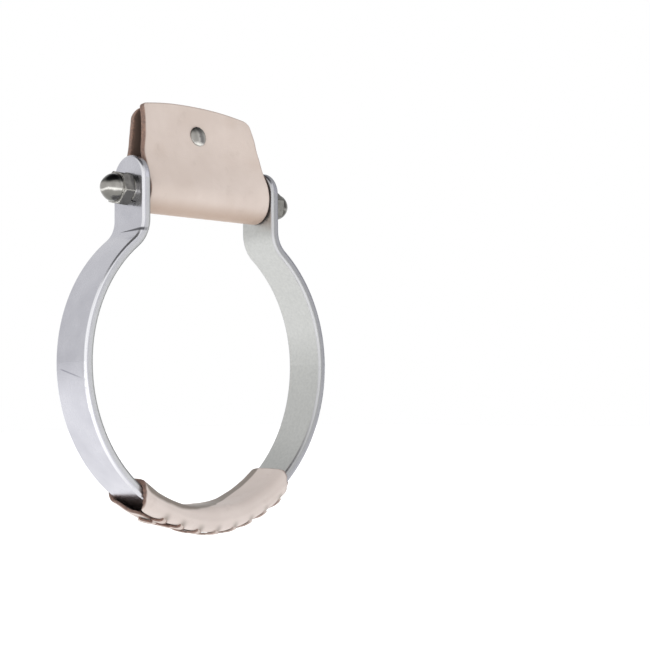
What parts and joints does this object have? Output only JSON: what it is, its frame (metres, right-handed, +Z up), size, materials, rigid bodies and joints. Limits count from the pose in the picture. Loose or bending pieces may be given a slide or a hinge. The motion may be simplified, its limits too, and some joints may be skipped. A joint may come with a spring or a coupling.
{
  "type": "stirrup",
  "caption": "Western riding stirrup: flat aluminium bar bent into a hoop, hung by a roller bolt in a riveted leather cover, with a laced leather tread.",
  "frame": {"origin": "centre of the bolt's axis, midway between the two arms", "axes": "+X along the bolt to the right, +Y to the back, +Z up through the arms; the hoop hangs below"},
  "size_m": [0.1504, 0.0286, 0.2045],
  "materials": {
    "bar_aluminium": "satin, polished on the edges",
    "nickel_plate": "polished nickel plate",
    "plain_steel": "turned steel",
    "natural_leather": "natural vegetable tanned leather, unfinished",
    "lace_leather": "natural lace with dark cut edges"
  },
  "bodies": {
    "hanger": {"bolt_cover": "natural_leather", "rivet_front_cap": "nickel_plate", "rivet_back_cap": "nickel_plate"},
    "hoop": {"bow": "bar_aluminium", "axle_stud": "plain_steel", "cap_nut_left": "nickel_plate", "cap_nut_right": "nickel_plate", "lock_washer_left": "nickel_plate", "lock_washer_right": "nickel_plate", "tread_cover": "natural_leather", "tread_lace": "lace_leather"},
    "roller": {"roller_tube": "plain_steel"}
  },
  "joints": [
    {"name": "hoop_swing", "type": "hinge", "parent": "hanger", "child": "hoop", "pos_m": [0, 0, 0], "axis": [1, 0, 0], "continuous": true},
    {"name": "roller_spin", "type": "hinge", "parent": "hoop", "child": "roller", "pos_m": [0, 0, 0], "axis": [1, 0, 0], "continuous": true}
  ]
}
